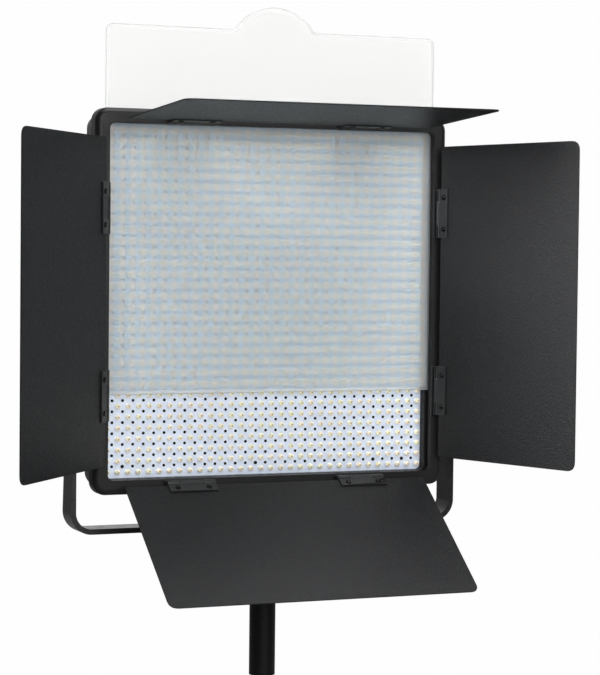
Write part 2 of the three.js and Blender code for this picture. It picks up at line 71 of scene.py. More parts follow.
board_low, board_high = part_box("led_board")
BOARD_FACE = board_low.y
HEAD_X = (board_low.x + board_high.x) / 2
HEAD_Z = (board_low.z + board_high.z) / 2
LED_PITCH = 10 * MM
LED_SHIFT = -0.8 * MM  # the LED grid sits slightly off the board's middle
PANEL_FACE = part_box("control_panel")[1].y
window_low, window_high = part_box("display_window")
dial_low, dial_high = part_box("brightness_dial")

# ---- Camera, stage and light ----------------------------------------------------------------

CAMERA_PLACE = Vector((-0.7659, -1.9313, 0.404))
CAMERA_YAW = math.radians(22.53)
CAMERA_PITCH = math.radians(-2.41)
CAMERA_ROLL = math.radians(0.605)
CAMERA_LENS = 118.8
FLOOR_DROP = 0.28  # the floor's distance below the stand adapter's mouth
FLOOR_R = 14.0
FLOOR_STEPS = 64
BACKGROUND = 0.99  # brightness of the world and the floor, as the camera sees them
WORLD_FRONT = (0.055, 0.058, 0.066)
WORLD_BACK = (0.96, 0.96, 0.96)
WORLD_LEFT = 0.35  # how much of it is left on the lamp's left side
WORLD_SPREAD = (0.3, 0.8)  # between these shares of the way from -Y to +Y, front turns into back
LEFT_SPREAD = (-0.35, 0.15)  # between these directions along X, the left side's dimness ends
FLOOR_GREY = (0.35, 0.35, 0.35)


def add_camera():
    forward = Vector((
        math.sin(CAMERA_YAW) * math.cos(CAMERA_PITCH),
        math.cos(CAMERA_YAW) * math.cos(CAMERA_PITCH),
        math.sin(CAMERA_PITCH),
    ))
    level = forward.cross(Vector((0, 0, 1))).normalized()
    upright = level.cross(forward)
    right = math.cos(CAMERA_ROLL) * level + math.sin(CAMERA_ROLL) * upright
    up = math.cos(CAMERA_ROLL) * upright - math.sin(CAMERA_ROLL) * level
    data = bpy.data.cameras.new("camera")
    data.lens = CAMERA_LENS
    camera = bpy.data.objects.new("camera", data)
    turned = Matrix((right, up, -forward)).transposed().to_4x4()
    camera.matrix_world = Matrix.Translation(CAMERA_PLACE) @ turned
    bpy.context.scene.collection.objects.link(camera)
    bpy.context.scene.camera = camera


def add_softbox(name, place, target, size, power):
    """A rectangular area light that points at a target. Power is in watts."""
    data = bpy.data.lights.new(name, "AREA")
    data.shape = "RECTANGLE"
    data.size, data.size_y = size
    data.energy = power
    lamp = bpy.data.objects.new(name, data)
    lamp.location = place
    lamp.rotation_euler = (Vector(target) - Vector(place)).to_track_quat("-Z", "Y").to_euler()
    bpy.context.scene.collection.objects.link(lamp)
    return lamp


def add_world():
    """White to the camera. As light: bright behind the lamp, dim in front of it and on its left."""
    world = bpy.data.worlds.new("studio")
    world.use_nodes = True
    tree = world.node_tree
    tree.nodes.clear()
    output = tree.nodes.new("ShaderNodeOutputWorld")
    seen = tree.nodes.new("ShaderNodeBackground")
    seen.inputs["Color"].default_value = (1, 1, 1, 1)
    seen.inputs["Strength"].default_value = BACKGROUND
    lit = tree.nodes.new("ShaderNodeBackground")
    place = tree.nodes.new("ShaderNodeTexCoord")
    split = tree.nodes.new("ShaderNodeSeparateXYZ")
    tree.links.new(place.outputs["Generated"], split.inputs[0])
    spread = tree.nodes.new("ShaderNodeMapRange")
    spread.inputs["From Min"].default_value = -1
    spread.inputs["From Max"].default_value = 1
    tree.links.new(split.outputs["Y"], spread.inputs["Value"])
    ramp = tree.nodes.new("ShaderNodeValToRGB")
    front, back = ramp.color_ramp.elements
    front.position, back.position = WORLD_SPREAD
    front.color = (*WORLD_FRONT, 1)
    back.color = (*WORLD_BACK, 1)
    tree.links.new(spread.outputs["Result"], ramp.inputs["Fac"])
    tree.links.new(ramp.outputs["Color"], lit.inputs["Color"])
    side = tree.nodes.new("ShaderNodeMapRange")
    side.inputs["From Min"].default_value, side.inputs["From Max"].default_value = LEFT_SPREAD
    side.inputs["To Min"].default_value = WORLD_LEFT
    side.inputs["To Max"].default_value = 1
    tree.links.new(split.outputs["X"], side.inputs["Value"])
    tree.links.new(side.outputs["Result"], lit.inputs["Strength"])
    path = tree.nodes.new("ShaderNodeLightPath")
    mix = tree.nodes.new("ShaderNodeMixShader")
    tree.links.new(path.outputs["Is Camera Ray"], mix.inputs["Fac"])
    tree.links.new(lit.outputs[0], mix.inputs[1])
    tree.links.new(seen.outputs[0], mix.inputs[2])
    tree.links.new(mix.outputs[0], output.inputs["Surface"])
    bpy.context.scene.world = world


def add_floor():
    """A round floor: plain white to the camera, and pale as far as light is concerned."""
    mesh = bpy.data.meshes.new("floor")
    angles = [2 * math.pi * i / FLOOR_STEPS for i in range(FLOOR_STEPS)]
    ring = [(FLOOR_R * math.cos(angle), FLOOR_R * math.sin(angle), -FLOOR_DROP) for angle in angles]
    mesh.from_pydata(ring, [], [list(range(FLOOR_STEPS))])
    floor = bpy.data.objects.new("floor", mesh)
    bpy.context.scene.collection.objects.link(floor)
    paint = bpy.data.materials.new("pale_floor")
    paint.use_nodes = True
    tree = paint.node_tree
    shader = tree.nodes["Principled BSDF"]
    shader.inputs["Base Color"].default_value = (*FLOOR_GREY, 1)
    shader.inputs["Roughness"].default_value = 1
    shader.inputs["Specular IOR Level"].default_value = 0
    glow = tree.nodes.new("ShaderNodeEmission")
    glow.inputs["Strength"].default_value = BACKGROUND
    path = tree.nodes.new("ShaderNodeLightPath")
    mix = tree.nodes.new("ShaderNodeMixShader")
    tree.links.new(path.outputs["Is Camera Ray"], mix.inputs["Fac"])
    tree.links.new(shader.outputs[0], mix.inputs[1])
    tree.links.new(glow.outputs[0], mix.inputs[2])
    tree.links.new(mix.outputs[0], tree.nodes["Material Output"].inputs["Surface"])
    mesh.materials.append(paint)


add_camera()
add_world()
add_floor()
add_softbox("key", (-0.1, -2.9, 1.0), (0, 0, 0.35), (2.6, 1.6), 68)
add_softbox("overhead", (0.4, -0.3, 2.2), (0, 0, 0.45), (2.0, 1.4), 60)
side_light = add_softbox("side", (-2.3, -0.42, 1.0), (0, 0, 0.45), (1.0, 0.9), 88)

# ---- Materials ------------------------------------------------------------------------------


class Look:
    """A procedural material: its node tree, with helpers that add grain, mottling and patchy roughness."""

    def __init__(self, name, color, roughness, metallic=0.0, specular=0.5):
        self.material = bpy.data.materials.new(name)
        self.material.use_nodes = True
        self.tree = self.material.node_tree
        self.shader = self.tree.nodes["Principled BSDF"]
        self.shader.inputs["Base Color"].default_value = (*color, 1)
        self.shader.inputs["Roughness"].default_value = roughness
        self.shader.inputs["Metallic"].default_value = metallic
        self.shader.inputs["Specular IOR Level"].default_value = specular
        self.place = self.tree.nodes.new("ShaderNodeTexCoord")
        self.bump = None

    def node(self, kind, **values):
        made = self.tree.nodes.new(kind)
        for name, value in values.items():
            made.inputs[name.replace("_", " ")].default_value = value
        return made

    def link(self, source, target):
        self.tree.links.new(source, target)

    def noise(self, scale, detail=3.0, stretch=(1, 1, 1)):
        noise = self.node("ShaderNodeTexNoise", Scale=scale, Detail=detail, Roughness=0.6)
        mapping = self.node("ShaderNodeMapping", Scale=stretch)
        self.link(self.place.outputs["Object"], mapping.inputs["Vector"])
        self.link(mapping.outputs["Vector"], noise.inputs["Vector"])
        return noise.outputs["Fac"]

    def ranged(self, value, low, high, from_low=0.3, from_high=0.7):
        spread = self.node("ShaderNodeMapRange")
        spread.inputs["From Min"].default_value = from_low
        spread.inputs["From Max"].default_value = from_high
        spread.inputs["To Min"].default_value = low
        spread.inputs["To Max"].default_value = high
        self.link(value, spread.inputs["Value"])
        return spread.outputs["Result"]

    def mixed(self, low, high, factor):
        """A colour between two colours. A colour that is None is linked in afterwards."""
        mix = self.tree.nodes.new("ShaderNodeMix")
        mix.data_type = "RGBA"
        if low:
            mix.inputs["A"].default_value = (*low, 1)
        if high:
            mix.inputs["B"].default_value = (*high, 1)
        self.link(factor, mix.inputs["Factor"])
        return mix.outputs["Result"]

    def wave(self, value, middle, period, share):
        """A cosine between 0 and share. It is lowest at middle, and half a period to each side it peaks."""
        phase = self.tree.nodes.new("ShaderNodeMath")
        phase.operation = "MULTIPLY_ADD"
        phase.inputs[1].default_value = 2 * math.pi / period
        phase.inputs[2].default_value = -math.pi / 2 - 2 * math.pi * middle / period
        self.link(value, phase.inputs[0])
        sine = self.tree.nodes.new("ShaderNodeMath")
        sine.operation = "SINE"
        self.link(phase.outputs[0], sine.inputs[0])
        return self.ranged(sine.outputs[0], 0, share, -1, 1)

    def added(self, one, other):
        total = self.tree.nodes.new("ShaderNodeMath")
        self.link(one, total.inputs[0])
        self.link(other, total.inputs[1])
        return total.outputs[0]

    def mottle(self, low, high, scale, detail=3.0, stretch=(1, 1, 1)):
        """The base colour wanders between two colours."""
        factor = self.ranged(self.noise(scale, detail, stretch), 0, 1)
        self.link(self.mixed(low, high, factor), self.shader.inputs["Base Color"])
        return self

    def rough(self, low, high, scale, stretch=(1, 1, 1)):
        self.link(self.ranged(self.noise(scale, 2.0, stretch), low, high), self.shader.inputs["Roughness"])
        return self

    def grain(self, scale, strength, depth, detail=2.0, stretch=(1, 1, 1)):
        """Raised grain: each call adds one more layer of bump."""
        bump = self.node("ShaderNodeBump", Strength=strength, Distance=depth)
        self.link(self.noise(scale, detail, stretch), bump.inputs["Height"])
        if self.bump:
            self.link(self.bump.outputs["Normal"], bump.inputs["Normal"])
        self.link(bump.outputs["Normal"], self.shader.inputs["Normal"])
        self.bump = bump
        return self


def door_paint():
    look = Look("door_paint", (0.006, 0.0065, 0.0072), 0.44, specular=0.25)
    look.mottle((0.0016, 0.0018, 0.0022), (0.0115, 0.0122, 0.0136), 760, 4)
    look.rough(0.36, 0.52, 520)
    return look.grain(800, 0.8, 0.0004).grain(60, 0.08, 0.001).material


def frame_black():
    look = Look("frame_black", (0.009, 0.009, 0.0092), 0.36, specular=0.19)
    look.mottle((0.0078, 0.0078, 0.008), (0.0105, 0.0105, 0.0107), 300)
    look.rough(0.32, 0.42, 160)
    return look.grain(1400, 0.2, 0.0001).material


def housing_paint():
    look = Look("housing_paint", (0.055, 0.055, 0.056), 0.4, specular=0.3)
    look.mottle((0.048, 0.048, 0.049), (0.062, 0.062, 0.063), 260)
    look.rough(0.34, 0.46, 140)
    return look.grain(900, 0.3, 0.00015).material


def yoke_paint():
    look = Look("yoke_paint", (0.005, 0.005, 0.0046), 0.26, specular=0.42)
    look.mottle((0.004, 0.004, 0.0037), (0.0065, 0.0065, 0.006), 400)
    look.rough(0.25, 0.36, 120)
    return look.grain(1200, 0.12, 0.0001).material


def stand_paint():
    look = Look("stand_paint", (0.003, 0.003, 0.0028), 0.42, specular=0.14)
    look.mottle((0.0022, 0.0022, 0.002), (0.004, 0.004, 0.0037), 400)
    look.rough(0.36, 0.48, 120)
    return look.grain(1200, 0.12, 0.0001).material


def hinge_paint():
    look = Look("hinge_paint", (0.014, 0.015, 0.0165), 0.34, specular=0.35)
    look.mottle((0.011, 0.012, 0.013), (0.018, 0.019, 0.021), 500)
    look.rough(0.28, 0.4, 260)
    return look.grain(1500, 0.2, 0.0001).material


def bright_steel():
    look = Look("bright_steel", (0.45, 0.45, 0.46), 0.32, metallic=1)
    look.mottle((0.36, 0.36, 0.37), (0.52, 0.52, 0.53), 700)
    look.rough(0.22, 0.42, 500)
    return look.grain(2600, 0.15, 0.00005).material


def rivet_black():
    look = Look("rivet_black", (0.002, 0.002, 0.002), 0.2, specular=0.2)
    look.mottle((0.001, 0.001, 0.001), (0.003, 0.003, 0.003), 900)
    return look.grain(2600, 0.15, 0.00005).material


def black_rubber():
    look = Look("black_rubber", (0.016, 0.016, 0.016), 0.7, specular=0.35)
    look.mottle((0.013, 0.013, 0.013), (0.02, 0.02, 0.02), 500)
    look.rough(0.6, 0.82, 300)
    return look.grain(1800, 0.3, 0.0001).material


def black_plastic():
    look = Look("black_plastic", (0.018, 0.018, 0.018), 0.5)
    look.mottle((0.015, 0.015, 0.015), (0.022, 0.022, 0.022), 400)
    look.rough(0.42, 0.58, 260)
    return look.grain(1900, 0.4, 0.00012).material


def board_white():
    look = Look("board_white", (0.67, 0.74, 0.87), 0.4)
    look.mottle((0.64, 0.71, 0.84), (0.7, 0.77, 0.9), 90)
    look.rough(0.32, 0.46, 400)
    return look.grain(700, 0.08, 0.0001).material


def driver_green():
    look = Look("driver_green", (0.02, 0.09, 0.045), 0.35)
    look.mottle((0.014, 0.07, 0.035), (0.03, 0.12, 0.06), 240)
    return look.grain(600, 0.15, 0.0001).material


def aluminium_sheet():
    look = Look("aluminium_sheet", (0.6, 0.61, 0.62), 0.4, metallic=1)
    look.mottle((0.55, 0.56, 0.57), (0.65, 0.66, 0.67), 60, stretch=(1, 1, 12))
    return look.grain(500, 0.15, 0.00005, stretch=(1, 1, 20)).material


def display_glass():
    look = Look("display_glass", (0.008, 0.01, 0.012), 0.08)
    look.rough(0.05, 0.12, 60)
    return look.grain(300, 0.02, 0.00005).material


def filter_cloth():
    look = Look("filter_cloth", (0.02, 0.02, 0.02), 0.9, specular=0.1)
    look.mottle((0.012, 0.012, 0.012), (0.03, 0.03, 0.03), 1200)
    return look.grain(2400, 0.6, 0.0002).material


def display_digits():
    look = Look("display_digits", (0.5, 0.05, 0.03), 0.4)
    look.mottle((0.45, 0.04, 0.02), (0.6, 0.07, 0.04), 900)
    look.shader.inputs["Emission Color"].default_value = (1.0, 0.12, 0.05, 1)
    look.shader.inputs["Emission Strength"].default_value = 0.6
    return look.material


def print_white():
    look = Look("print_white", (0.6, 0.6, 0.6), 0.6)
    return look.mottle((0.5, 0.5, 0.5), (0.66, 0.66, 0.66), 1500).material


def black_ink():
    look = Look("black_ink", (0.004, 0.004, 0.006), 0.5, specular=0.1)
    return look.mottle((0.001, 0.001, 0.002), (0.004, 0.004, 0.006), 2000).material


def led_dome():
    """A clear dome over its phosphor: yellow or orange next to the board, with a dark spot at the tip."""
    look = Look("led_dome", (0.9, 0.82, 0.55), 0.2)
    split = look.tree.nodes.new("ShaderNodeSeparateXYZ")
    look.link(look.place.outputs["Object"], split.inputs[0])
    height = look.ranged(split.outputs["Y"], 1, 0, BOARD_FACE - 5.15 * MM, BOARD_FACE - 4.5 * MM)
    groups = look.ranged(look.noise(42, 1), 0, 1, 0.42, 0.58)
    phosphor = look.mixed((1.0, 0.95, 0.55), (1.0, 0.84, 0.6), groups)
    pale = look.mixed((0.95, 0.94, 0.88), None, look.ranged(look.noise(160, 1), 0.6, 1))
    look.link(phosphor, pale.node.inputs["B"])
    tip = look.mixed(None, (0.3, 0.27, 0.22), height)
    foot = look.ranged(split.outputs["Y"], 0, 1, BOARD_FACE - 1.6 * MM, BOARD_FACE - 1.0 * MM)
    edge = look.mixed(None, (0.76, 0.83, 0.96), foot)
    look.link(pale, edge.node.inputs["A"])
    look.link(edge, tip.node.inputs["A"])
    look.link(tip, look.shader.inputs["Base Color"])
    # The faint cream glow is painted light: it lifts the domes' shaded sides, and the LEDs are not lit.
    look.shader.inputs["Emission Color"].default_value = (1, 0.92, 0.7, 1)
    look.shader.inputs["Emission Strength"].default_value = 0.15
    return look.material


PAINTED_GRID_INSIDE, PAINTED_GRID_PAST = 2 * MM, 12 * MM  # the painted LED grid fades out around the board's upper edge
PAINTED_GRID_ACROSS, PAINTED_GRID_UPWARD = 0.62, 0.38  # shares of the LED columns and rows in the painted grid


def acrylic(name, colours_and_painted_grid, clear, blurred):
    """Frosted acrylic: shares of the light pass each face straight and blurred, and the rest is scattered.

    Its colour also carries a faint painted image of the LED grid showing through: warmer over each LED and
    cooler between them, up to the board's top."""
    plain, cool, warm = colours_and_painted_grid
    look = Look(name, plain, 0.45, specular=0.4)
    look.grain(1500, 0.1, 0.0001)
    split = look.tree.nodes.new("ShaderNodeSeparateXYZ")
    look.link(look.place.outputs["Object"], split.inputs[0])
    # A painted image of the LED grid showing through the sheet: colour waves, warmer over each LED and cooler
    # between them.
    across = look.wave(split.outputs["X"], HEAD_X + LED_SHIFT, LED_PITCH, PAINTED_GRID_ACROSS)
    upward = look.wave(split.outputs["Z"], HEAD_Z, LED_PITCH, PAINTED_GRID_UPWARD)
    both = look.added(across, upward)
    behind = look.ranged(split.outputs["Z"], 1, 0, board_high.z - PAINTED_GRID_INSIDE, board_high.z + PAINTED_GRID_PAST)
    colour_and_painted_grid = look.mixed(plain, None, behind)
    look.link(look.mixed(cool, warm, both), colour_and_painted_grid.node.inputs["B"])
    look.link(colour_and_painted_grid, look.shader.inputs["Base Color"])
    through = look.node("ShaderNodeBsdfTranslucent")
    straight = look.node("ShaderNodeBsdfTransparent")
    bent = look.node("ShaderNodeBsdfRefraction", Roughness=0.5, IOR=1.25)
    for shader in (through, straight, bent):
        look.link(colour_and_painted_grid, shader.inputs["Color"])
    scatter = look.node("ShaderNodeMixShader", Fac=0.55)
    passing = look.node("ShaderNodeMixShader", Fac=blurred / (clear + blurred))
    whole = look.node("ShaderNodeMixShader", Fac=clear + blurred)
    look.link(look.shader.outputs[0], scatter.inputs[1])
    look.link(through.outputs[0], scatter.inputs[2])
    look.link(straight.outputs[0], passing.inputs[1])
    look.link(bent.outputs[0], passing.inputs[2])
    look.link(scatter.outputs[0], whole.inputs[1])
    look.link(passing.outputs[0], whole.inputs[2])
    look.link(whole.outputs[0], look.tree.nodes["Material Output"].inputs["Surface"])
    return look.material


# The plain colour, then the painted grid's colours: between LEDs and over LEDs.
SHEET_COLOURS_AND_PAINTED_GRID = ((0.95, 0.952, 0.945), (0.83, 0.925, 0.999), (0.999, 0.955, 0.9))
# The rim's painted highlight: brighter and clearer than the rest of the sheet.
RIM_PAINTED_HIGHLIGHT_TINTS = [(0.99, 0.99, 0.985)] * 3
EDGE_TINTS = [(0.72, 0.74, 0.74)] * 3
LOOKS = {
    "door_paint": door_paint(),
    "frame_black": frame_black(),
    "housing_paint": housing_paint(),
    "yoke_paint": yoke_paint(),
    "hinge_paint": hinge_paint(),
    "bright_steel": bright_steel(),
    "black_rubber": black_rubber(),
    "black_plastic": black_plastic(),
    "board_white": board_white(),
    "driver_green": driver_green(),
    "aluminium_sheet": aluminium_sheet(),
    "display_glass": display_glass(),
    "frosted_sheet": acrylic("frosted_sheet", SHEET_COLOURS_AND_PAINTED_GRID, 0.44, 0.22),
}
# Nodes that look different from the rest of their slot.
OWN_LOOKS = {"stand_adapter": stand_paint()}
# The sheet's rim is painted brighter and clearer, a painted highlight along its edge.
SHEET_RIM_PAINTED_HIGHLIGHT = acrylic("sheet_rim", RIM_PAINTED_HIGHLIGHT_TINTS, 0.6, 0.2)
SHEET_EDGE = acrylic("sheet_edge", EDGE_TINTS, 0.3, 0.2)
RIVET = rivet_black()
FILTER = filter_cloth()
DIGITS = display_digits()
PRINT = print_white()
INK = black_ink()
LED = led_dome()
SLOT_OF = {row["node"]: row["material_slot"] for row in frame["record"]["subparts"]}

# ---- Finished copies of the CAD nodes -------------------------------------------------------

ROUNDING_STEPS = 3
ROUNDED_FROM = 35  # edges sharper than this many degrees are rounded
SHARP_FROM = 50  # and in new pieces edges sharper than this stay sharp
RIVET_R = 2.05 * MM
RIVET_HEAD = 0.7 * MM
RIVET_END_AREA = (3.2e-6, 5.2e-6)  # square metres, between which a rivet's end face lies
DOME_R = 2.6 * MM
EDGE_WIDTH = 0.7 * MM  # of the line along the diffuser's cut edge
RIM_WIDTH = 2.6 * MM  # of its rim, painted brighter and clearer as a highlight where the cut edge bends light


def finished(node, bevel, more_looks=(), chosen=None):
    """A copy of a CAD node in its place, with rounded edges, round faces shaded smooth and flat ones flat.

    chosen gives one group of faces for each of the other looks."""
    source = frame["nodes"][node]
    mesh = source.data.copy()
    mesh.materials.clear()
    mesh.materials.append(OWN_LOOKS.get(node, LOOKS[SLOT_OF[node]]))
    for look in more_looks:
        mesh.materials.append(look)
    shape = bmesh.new()
    shape.from_mesh(mesh)
    bmesh.ops.remove_doubles(shape, verts=shape.verts, dist=0.001 * MM)
    bmesh.ops.dissolve_limit(
        shape,
        angle_limit=math.radians(0.5),
        verts=shape.verts,
        edges=shape.edges,
        use_dissolve_boundaries=False,
    )
    bmesh.ops.recalc_face_normals(shape, faces=shape.faces)
    if chosen:
        for index, group in enumerate(chosen(shape), start=1):
            for face in group:
                face.material_index = index
    shape.to_mesh(mesh)
    shape.free()
    mesh.shade_smooth()
    piece = bpy.data.objects.new(node + "_finished", mesh)
    bpy.context.scene.collection.objects.link(piece)
    rounding = piece.modifiers.new("rounding", "BEVEL")
    rounding.width = bevel
    rounding.segments = ROUNDING_STEPS
    rounding.limit_method = "ANGLE"
    rounding.angle_limit = math.radians(ROUNDED_FROM)
    rounding.use_clamp_overlap = True
    flat = piece.modifiers.new("flat_faces", "WEIGHTED_NORMAL")
    flat.weight = 100
    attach(piece, source["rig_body"])
    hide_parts(node)
    return piece


def rivet_axes(shape):
    """The middle and direction of each small round face that ends one of a hinge leaf's rivets."""
    least, most = RIVET_END_AREA
    ends = [face for face in shape.faces if len(face.verts) >= 8 and least < face.calc_area() < most]
    return [(end.calc_center_median(), end.normal.copy()) for end in ends]


def rivet_faces(shape):
    """The faces of a hinge leaf's rivet heads: all that lie around their end faces."""
    axes = rivet_axes(shape)
    heads = set()
    for face in shape.faces:
        for centre, normal in axes:
            offset = face.calc_center_median() - centre
            depth = -offset.dot(normal)
            if depth < RIVET_HEAD + 0.1 * MM and (offset + normal * depth).length < RIVET_R:
                heads.add(face)
    return [heads]


def sheet_rim(shape):
    """The diffuser's rim on both of its faces, painted brighter and clearer as a highlight where the cut edge
    bends light, and the greyer line of its cut edge outside that.
    """
    wide = sorted(shape.faces, key=lambda face: face.calc_area())[-2:]
    edge = [face for face in shape.faces if face not in wide]
    edge += bmesh.ops.inset_region(shape, faces=wide, thickness=EDGE_WIDTH, use_even_offset=True)["faces"]
    rim = bmesh.ops.inset_region(shape, faces=wide, thickness=RIM_WIDTH, use_even_offset=True)["faces"]
    return [rim, edge]


# Widths of rounded edges in millimetres.
ROUNDING = {
    "yoke_bar": 0.7, "stand_adapter": 0.5, "adapter_bolt": 0.5, "front_frame": 0.8, "rear_housing": 0.35,
    "control_panel": 0.5, "led_board": 0.2, "board_carrier": 0.3, "driver_board": 0.2, "diffuser": 0.3,
    "display_window": 0.25, "dc_inlet": 0.25, "power_switch": 0.5,
    "pivot_boss_left": 0.5, "pivot_boss_right": 0.5,
}
# These get a new shape further down.
LOBED = ("stand_clamp_knob", "tilt_knob_left", "tilt_knob_right", "brightness_dial")
DOOR_ROUNDING, HINGE_ROUNDING, OTHER_ROUNDING = 0.35, 0.2, 0.3


def rounding_width(node):
    """The width of a node's rounded edges, in millimetres."""
    if node.startswith("door_"):
        return DOOR_ROUNDING
    if node.startswith("hinge_"):
        return HINGE_ROUNDING
    return ROUNDING.get(node, OTHER_ROUNDING)


for node in frame["nodes"]:
    if node in LOBED:
        continue
    width = rounding_width(node)
    if node.startswith("hinge_leaf"):
        finished(node, width * MM, [RIVET], rivet_faces)
    elif node == "diffuser":
        finished(node, width * MM, [SHEET_RIM_PAINTED_HIGHLIGHT, SHEET_EDGE], sheet_rim)
    else:
        finished(node, width * MM)

# ---- LEDs, dots and screws on the board -----------------------------------------------------

LED_COLUMNS = 32
LED_R = 2.3 * MM
LED_FLANGE_R = 2.6 * MM
LED_BASE = 0.9 * MM
LED_TALL = 5.2 * MM
LED_STEPS = 10
DOME_STEPS = 4
DOT_R = 1.45 * MM
SCREW_R = 1.65 * MM
SCREW_COLUMNS = (1, 14, 26, 29)  # the dots that are screws, in the first and last row of dots
LIFT = 0.02 * MM  # small pieces start this far off the board's face


def new_piece(name, shape, look, body, smooth=True):
    """Makes an object of a bmesh and ties it to a body of the frame."""
    mesh = bpy.data.meshes.new(name)
    bmesh.ops.recalc_face_normals(shape, faces=shape.faces)
    shape.to_mesh(mesh)
    shape.free()
    mesh.materials.append(look)
    if smooth:
        mesh.shade_smooth()
        mesh.set_sharp_from_angle(angle=math.radians(SHARP_FROM))
    piece = bpy.data.objects.new(name, mesh)
    bpy.context.scene.collection.objects.link(piece)
    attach(piece, body)
    return piece


def turn_profile(shape, centre, profile, steps, axis=Vector((0, -1, 0)), lobes=0):
    """Adds a turned solid: rings of (radius, height along the axis), ending in a point or a flat cap.

    A third value in a ring says how deep its lobes are, as a share of the radius."""
    across = axis.orthogonal().normalized()
    other = axis.cross(across)
    rings = []
    for radius, height, *depth in profile:
        if radius == 0:
            rings.append([shape.verts.new(centre + axis * height)])
            continue
        ring = []
        for i in range(steps):
            angle = 2 * math.pi * i / steps
            spoke = across * math.cos(angle) + other * math.sin(angle)
            dent = depth[0] * (0.5 - 0.5 * math.cos(lobes * angle)) if depth else 0
            ring.append(shape.verts.new(centre + axis * height + spoke * radius * (1 - dent)))
        rings.append(ring)
    for low, high in zip(rings, rings[1:]):
        for i in range(steps):
            j = (i + 1) % steps
            corners = [low[i % len(low)], low[j % len(low)], high[j % len(high)], high[i % len(high)]]
            unique = list(dict.fromkeys(corners))
            if len(unique) > 2:
                shape.faces.new(unique)
    for ring in (rings[0], rings[-1]):
        if len(ring) > 2:
            shape.faces.new(ring)


def on_board(column, row):
    """The place of a grid point on the board's face: whole numbers are LEDs, halves are dots."""
    middle = (LED_COLUMNS - 1) / 2
    x = HEAD_X + LED_SHIFT + (column - middle) * LED_PITCH
    z = HEAD_Z + (row - middle) * LED_PITCH
    return Vector((x, BOARD_FACE, z))


def add_leds():
    """All LEDs as one mesh: a flange, a short cylinder and a dome."""
    profile = [(LED_FLANGE_R, LIFT), (LED_FLANGE_R, LED_BASE), (LED_R, LED_BASE + 0.15 * MM)]
    straight = LED_TALL - LED_R
    for i in range(DOME_STEPS):
        angle = math.pi / 2 * i / DOME_STEPS
        profile.append((LED_R * math.cos(angle), straight + LED_R * math.sin(angle)))
    profile.append((0, straight + LED_R))
    shape = bmesh.new()
    for row in range(LED_COLUMNS):
        for column in range(LED_COLUMNS):
            turn_profile(shape, on_board(column, row), profile, LED_STEPS)
    new_piece("led_array", shape, LED, "head")


def add_dots():
    """The dark dots between the LEDs, and the screws that take the place of a few of them."""
    shape = bmesh.new()
    screws = bmesh.new()
    last = LED_COLUMNS - 1
    for row in range(last):
        for column in range(last):
            centre = on_board(column + 0.5, row + 0.5)
            if row in (0, last - 1) and column in SCREW_COLUMNS:
                head = [(SCREW_R, LIFT), (SCREW_R, 0.5 * MM), (SCREW_R * 0.7, 0.85 * MM)]
                slot = [(SCREW_R * 0.35, 0.85 * MM), (SCREW_R * 0.3, 0.45 * MM)]
                turn_profile(screws, centre, head + slot, 16)
            else:
                turn_profile(shape, centre, [(DOT_R, LIFT), (DOT_R * 0.9, 0.14 * MM)], LED_STEPS)
    new_piece("board_dots", shape, INK, "head", smooth=False)
    new_piece("board_screws", screws, RIVET, "head")


def add_rivet_domes(door):
    """A round head on both ends of each rivet of a door's hinge leaves."""
    domes = bmesh.new()
    for node in frame["nodes"]:
        if not node.startswith("hinge_leaf_" + door):
            continue
        leaf = bpy.data.objects[node + "_finished"].data
        shape = bmesh.new()
        shape.from_mesh(leaf)
        for end, normal in rivet_axes(shape):
            base = end - normal * (RIVET_HEAD - 0.05 * MM)
            profile = [
                (DOME_R, 0), (DOME_R, 0.3 * MM), (DOME_R * 0.86, 0.75 * MM), (DOME_R * 0.52, 1.05 * MM),
                (0, 1.15 * MM),
            ]
            turn_profile(domes, base, profile, 20, normal)
        shape.free()
    new_piece("rivet_domes_" + door, domes, RIVET, door + "_door")


add_leds()
add_dots()
for door in ("top", "right", "bottom", "left"):
    add_rivet_domes(door)

# The side light gives the right door its sheen. Level faces would glare white in it, seen from the side,
# so it lights only that door, the board and the diffuser.
SIDE_LIT = ("door_right", "hinge_leaf_right", "rivet_domes_right", "diffuser", "led_", "board_")
side_lit = bpy.data.collections.new("lit_from_the_side")
side_light.light_linking.receiver_collection = side_lit
for piece in bpy.context.scene.objects:
    if piece.name.startswith(SIDE_LIT):
        side_lit.objects.link(piece)

# ---- Knobs ----------------------------------------------------------------------------------

STUD_R = 4 * MM
THREAD_PITCH = 1.25 * MM
THREAD_DEPTH = 0.5 * MM
WHEEL_FOOT = 4 * MM  # from the face next to the work to the widest part
STEPS_A_LOBE = 12
DIAL_DEPTH = 10.5 * MM
DIAL_RIBS = 36


def replace_node(name, shape, node, body):
    """Makes a piece that is seen in the place of a CAD node."""
    piece = new_piece(name, shape, LOOKS[SLOT_OF[node]], body)
    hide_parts(node)


